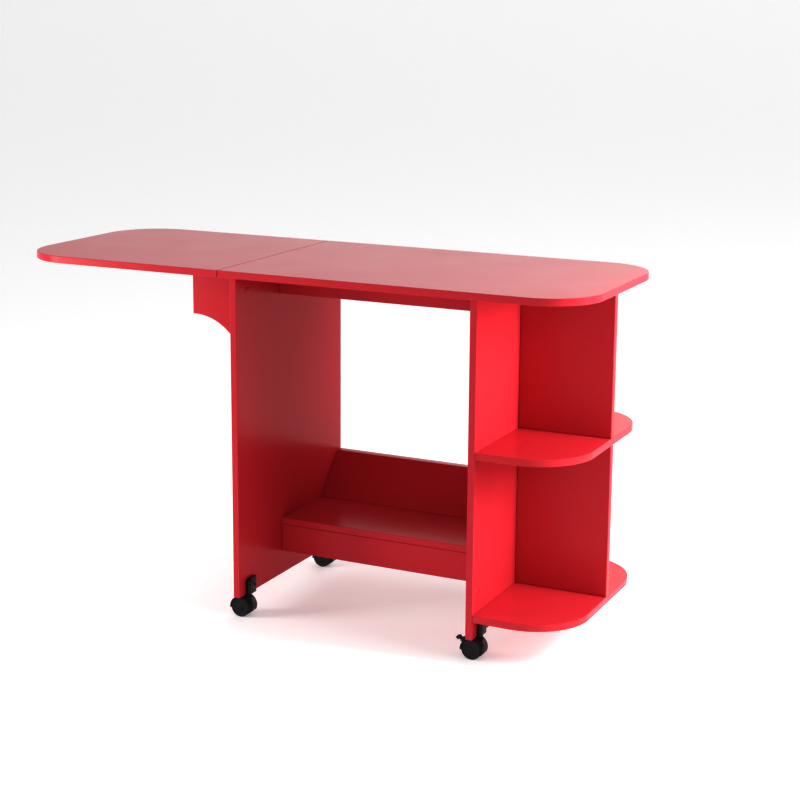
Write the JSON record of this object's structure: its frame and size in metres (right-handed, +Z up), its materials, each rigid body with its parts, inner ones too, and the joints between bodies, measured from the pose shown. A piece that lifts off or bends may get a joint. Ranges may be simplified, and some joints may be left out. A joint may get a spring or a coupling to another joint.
{
  "type": "sewing table",
  "caption": "Board sewing table on casters with a drop leaf, a swing-out leaf support, a low storage shelf and open end shelves.",
  "frame": {"origin": "on the floor, below the middle of the open table top", "axes": "+X to the right along the top, towards the end shelves; -Y towards the person sewing; +Z up"},
  "size_m": [1.3036, 0.4826, 0.7493],
  "materials": {
    "red_paint": "glossy red paint over board",
    "black_plastic": "moulded, slight sheen",
    "wheel_tread": "moulded, satin",
    "steel": "zinc plated"
  },
  "bodies": {
    "table": {"bottom_shelf": "red_paint", "bracket_hinge_lower_panel_plate": "steel", "bracket_hinge_lower_pin": "steel", "bracket_hinge_upper_panel_plate": "steel", "bracket_hinge_upper_pin": "steel", "cam_bolt_back_left": "steel", "cam_bolt_back_right": "steel", "cam_bolt_front_left": "steel", "cam_bolt_front_right": "steel", "cam_lock_back_left": "steel", "cam_lock_back_right": "steel", "cam_lock_front_left": "steel", "cam_lock_front_right": "steel", "caster_back_left_mount": "black_plastic", "caster_back_left_stem": "steel", "caster_back_right_mount": "black_plastic", "caster_back_right_stem": "steel", "caster_front_left_mount": "black_plastic", "caster_front_left_stem": "steel", "caster_front_right_mount": "black_plastic", "caster_front_right_stem": "steel", "drop_leaf": "red_paint", "leaf_hinge_front_fixed_plate": "steel", "leaf_hinge_front_leaf_plate": "steel", "leaf_hinge_front_pin": "steel", "leaf_hinge_rear_fixed_plate": "steel", "leaf_hinge_rear_leaf_plate": "steel", "leaf_hinge_rear_pin": "steel", "left_end_panel": "red_paint", "lower_divider": "red_paint", "main_top": "red_paint", "mid_shelf": "red_paint", "right_end_panel": "red_paint", "sloped_back_board": "red_paint", "storage_apron": "red_paint", "storage_shelf": "red_paint", "top_rail": "red_paint", "upper_divider": "red_paint"},
    "leaf_support": {"leaf_support_bracket": "red_paint", "leaf_support_pad": "black_plastic", "bracket_hinge_upper_bracket_plate": "steel", "bracket_hinge_lower_bracket_plate": "steel"},
    "caster_front_left": {"caster_front_left_hood": "black_plastic", "caster_front_left_axle": "steel"},
    "caster_front_left_wheel_front": {"caster_front_left_wheel_front": "wheel_tread"},
    "caster_front_left_wheel_rear": {"caster_front_left_wheel_rear": "wheel_tread"},
    "caster_front_right": {"caster_front_right_hood": "black_plastic", "caster_front_right_axle": "steel"},
    "caster_front_right_wheel_front": {"caster_front_right_wheel_front": "wheel_tread"},
    "caster_front_right_wheel_rear": {"caster_front_right_wheel_rear": "wheel_tread"},
    "caster_front_right_brake_lever": {"caster_front_right_brake_lever": "black_plastic"},
    "caster_back_left": {"caster_back_left_hood": "black_plastic", "caster_back_left_axle": "steel"},
    "caster_back_left_wheel_front": {"caster_back_left_wheel_front": "wheel_tread"},
    "caster_back_left_wheel_rear": {"caster_back_left_wheel_rear": "wheel_tread"},
    "caster_back_right": {"caster_back_right_hood": "black_plastic", "caster_back_right_axle": "steel"},
    "caster_back_right_wheel_front": {"caster_back_right_wheel_front": "wheel_tread"},
    "caster_back_right_wheel_rear": {"caster_back_right_wheel_rear": "wheel_tread"},
    "caster_back_right_brake_lever": {"caster_back_right_brake_lever": "black_plastic"}
  },
  "joints": [
    {"name": "leaf_support_swing", "type": "hinge", "parent": "table", "child": "leaf_support", "pos_m": [-0.12155, -0.0057, 0.6], "axis": [0, 0, -1], "range_deg": [0, 90]},
    {"name": "caster_front_left_swivel", "type": "hinge", "parent": "table", "child": "caster_front_left", "pos_m": [-0.09795, -0.194, 0.042], "axis": [0, 0, 1], "continuous": true},
    {"name": "caster_front_left_wheel_front_spin", "type": "hinge", "parent": "caster_front_left", "child": "caster_front_left_wheel_front", "pos_m": [-0.11165, -0.194, 0.0215], "axis": [0, 1, 0], "continuous": true},
    {"name": "caster_front_left_wheel_rear_spin", "type": "hinge", "parent": "caster_front_left", "child": "caster_front_left_wheel_rear", "pos_m": [-0.11165, -0.194, 0.0215], "axis": [0, 1, 0], "continuous": true},
    {"name": "caster_front_right_swivel", "type": "hinge", "parent": "table", "child": "caster_front_right", "pos_m": [0.43705, -0.194, 0.042], "axis": [0, 0, 1], "continuous": true},
    {"name": "caster_front_right_wheel_front_spin", "type": "hinge", "parent": "caster_front_right", "child": "caster_front_right_wheel_front", "pos_m": [0.42335, -0.194, 0.0215], "axis": [0, 1, 0], "continuous": true},
    {"name": "caster_front_right_wheel_rear_spin", "type": "hinge", "parent": "caster_front_right", "child": "caster_front_right_wheel_rear", "pos_m": [0.42335, -0.194, 0.0215], "axis": [0, 1, 0], "continuous": true},
    {"name": "caster_front_right_brake_lever_tilt", "type": "hinge", "parent": "caster_front_right", "child": "caster_front_right_brake_lever", "pos_m": [0.40282, -0.201, 0.03873], "axis": [0, -1, 0], "range_deg": [0, 18]},
    {"name": "caster_back_left_swivel", "type": "hinge", "parent": "table", "child": "caster_back_left", "pos_m": [-0.09795, 0.171, 0.042], "axis": [0, 0, 1], "continuous": true},
    {"name": "caster_back_left_wheel_front_spin", "type": "hinge", "parent": "caster_back_left", "child": "caster_back_left_wheel_front", "pos_m": [-0.11165, 0.171, 0.0215], "axis": [0, 1, 0], "continuous": true},
    {"name": "caster_back_left_wheel_rear_spin", "type": "hinge", "parent": "caster_back_left", "child": "caster_back_left_wheel_rear", "pos_m": [-0.11165, 0.171, 0.0215], "axis": [0, 1, 0], "continuous": true},
    {"name": "caster_back_right_swivel", "type": "hinge", "parent": "table", "child": "caster_back_right", "pos_m": [0.43705, 0.171, 0.042], "axis": [0, 0, 1], "continuous": true},
    {"name": "caster_back_right_wheel_front_spin", "type": "hinge", "parent": "caster_back_right", "child": "caster_back_right_wheel_front", "pos_m": [0.42335, 0.171, 0.0215], "axis": [0, 1, 0], "continuous": true},
    {"name": "caster_back_right_wheel_rear_spin", "type": "hinge", "parent": "caster_back_right", "child": "caster_back_right_wheel_rear", "pos_m": [0.42335, 0.171, 0.0215], "axis": [0, 1, 0], "continuous": true},
    {"name": "caster_back_right_brake_lever_tilt", "type": "hinge", "parent": "caster_back_right", "child": "caster_back_right_brake_lever", "pos_m": [0.40282, 0.164, 0.03873], "axis": [0, -1, 0], "range_deg": [0, 18]}
  ]
}
